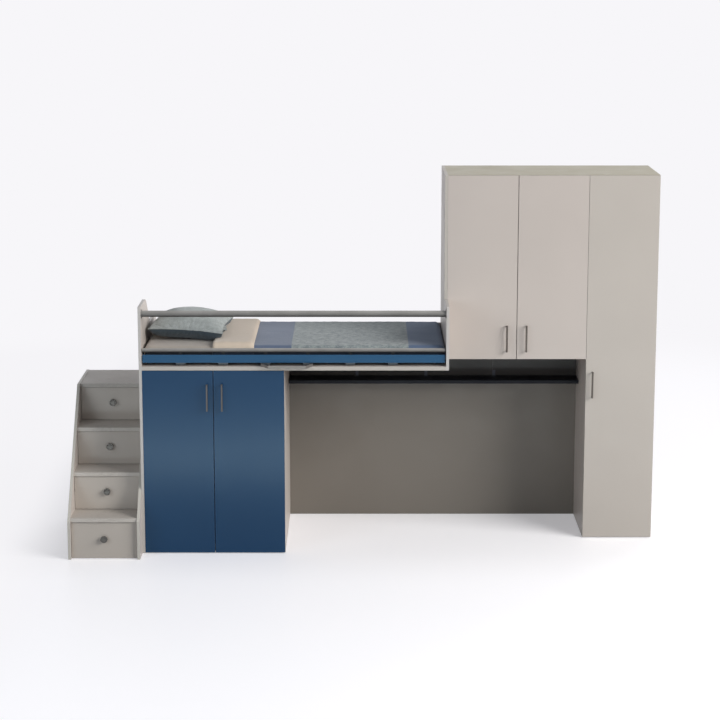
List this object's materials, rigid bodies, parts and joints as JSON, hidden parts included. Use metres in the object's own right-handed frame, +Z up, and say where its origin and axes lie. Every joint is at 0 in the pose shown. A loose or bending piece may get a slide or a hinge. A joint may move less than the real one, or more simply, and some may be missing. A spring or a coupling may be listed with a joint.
{
  "type": "loft bed",
  "caption": "Loft bed over a two-door wardrobe, with a drawer stair, an open niche with a shelf, a bridge cabinet, a tall column cupboard and a slatted base that pulls out.",
  "frame": {"origin": "on the floor, in the middle of the plan", "axes": "+X from the stair to the column, along the longest side; +Y from the front to the wall; +Z up"},
  "size_m": [3.756, 1.101, 2.384],
  "materials": {
    "greige_board": "satin melamine-faced board, plain warm grey",
    "blue_board": "satin lacquered board, deep blue",
    "grey_panel": "satin melamine-faced board, darker warm grey",
    "dark_shelf_board": "satin melamine-faced board, very dark blue-grey",
    "pale_inner_board": "matt melamine-faced board, pale",
    "pale_slat_wood": "smooth painted slat wood, pale grey",
    "grey_tube_steel": "satin powder coat, mid grey",
    "brushed_handle_steel": "brushed, grey",
    "dark_knob_steel": "turned and darkened",
    "zinc_fittings": "zinc plated",
    "glide_plastic": "matt black plastic",
    "mattress_cover": "knitted cover over foam",
    "beige_sheet": "plain woven cotton",
    "grey_blue_coverlet": "woven coverlet with a soft mottled band",
    "grey_pillowcase": "plain woven cotton, filled"
  },
  "bodies": {
    "frame": {"stair_left_side": "greige_board", "stair_right_side": "greige_board", "stair_treads": "greige_board", "drawer_runners": "zinc_fittings", "bed_left_end": "greige_board", "bed_right_end": "greige_board", "bed_deck": "greige_board", "bed_back_rail": "greige_board", "guard_tube": "grey_tube_steel", "tube_sockets": "grey_tube_steel", "wardrobe_left_side": "greige_board", "wardrobe_right_side": "greige_board", "wardrobe_top": "greige_board", "cupboard_bottoms": "greige_board", "niche_back_panel": "grey_panel", "niche_upper_panels": "grey_panel", "niche_shelf": "dark_shelf_board", "shelf_brackets": "zinc_fittings", "cabinet_left_side": "greige_board", "cabinet_right_side": "greige_board", "cabinet_bottom": "greige_board", "top_board": "greige_board", "column_left_side": "greige_board", "column_right_side": "greige_board", "back_boards": "pale_inner_board", "inner_shelves": "pale_inner_board", "hanging_rails": "zinc_fittings", "hinge_arms": "zinc_fittings"},
    "drawer_1": {"drawer_front_1": "greige_board", "drawer_box_1": "pale_inner_board", "drawer_knob_1": "dark_knob_steel"},
    "drawer_2": {"drawer_front_2": "greige_board", "drawer_box_2": "pale_inner_board", "drawer_knob_2": "dark_knob_steel"},
    "drawer_3": {"drawer_front_3": "greige_board", "drawer_box_3": "pale_inner_board", "drawer_knob_3": "dark_knob_steel"},
    "drawer_4": {"drawer_front_4": "greige_board", "drawer_box_4": "pale_inner_board", "drawer_knob_4": "dark_knob_steel"},
    "wardrobe_leaf_left": {"wardrobe_door_left": "blue_board", "wardrobe_handle_left": "brushed_handle_steel"},
    "wardrobe_leaf_right": {"wardrobe_door_right": "blue_board", "wardrobe_handle_right": "brushed_handle_steel"},
    "cabinet_leaf_left": {"cabinet_door_left": "greige_board", "cabinet_handle_left": "brushed_handle_steel"},
    "cabinet_leaf_right": {"cabinet_door_right": "greige_board", "cabinet_handle_right": "brushed_handle_steel"},
    "column_leaf": {"column_door": "greige_board", "column_handle": "brushed_handle_steel"},
    "bed_base": {"base_fascia": "blue_board", "base_slats": "pale_slat_wood", "base_rear_rail": "pale_slat_wood", "base_glides": "glide_plastic", "base_handle": "brushed_handle_steel", "mattress_retainer": "grey_tube_steel", "mattress": "mattress_cover", "sheet": "beige_sheet", "coverlet": "grey_blue_coverlet", "pillows": "grey_pillowcase"}
  },
  "joints": [
    {"name": "drawer_1_slide", "type": "slide", "parent": "frame", "child": "drawer_1", "axis": [0, -1, 0], "range_m": [0, 0.35]},
    {"name": "drawer_2_slide", "type": "slide", "parent": "frame", "child": "drawer_2", "axis": [0, -1, 0], "range_m": [0, 0.35]},
    {"name": "drawer_3_slide", "type": "slide", "parent": "frame", "child": "drawer_3", "axis": [0, -1, 0], "range_m": [0, 0.35]},
    {"name": "drawer_4_slide", "type": "slide", "parent": "frame", "child": "drawer_4", "axis": [0, -1, 0], "range_m": [0, 0.35]},
    {"name": "wardrobe_left_hinge", "type": "hinge", "parent": "frame", "child": "wardrobe_leaf_left", "pos_m": [-1.403, -0.4065, 1], "axis": [0, 0, -1], "range_deg": [0, 88]},
    {"name": "wardrobe_right_hinge", "type": "hinge", "parent": "frame", "child": "wardrobe_leaf_right", "pos_m": [-0.509, -0.4065, 1], "axis": [0, 0, 1], "range_deg": [0, 110]},
    {"name": "cabinet_left_hinge", "type": "hinge", "parent": "frame", "child": "cabinet_leaf_left", "pos_m": [0.529, -0.0485, 1], "axis": [0, 0, -1], "range_deg": [0, 85]},
    {"name": "cabinet_right_hinge", "type": "hinge", "parent": "frame", "child": "cabinet_leaf_right", "pos_m": [1.427, -0.0485, 1], "axis": [0, 0, 1], "range_deg": [0, 90]},
    {"name": "column_hinge", "type": "hinge", "parent": "frame", "child": "column_leaf", "pos_m": [1.877, -0.0485, 1], "axis": [0, 0, 1], "range_deg": [0, 110]},
    {"name": "base_slide", "type": "slide", "parent": "frame", "child": "bed_base", "axis": [0, -1, 0], "range_m": [0, 0.3]}
  ]
}
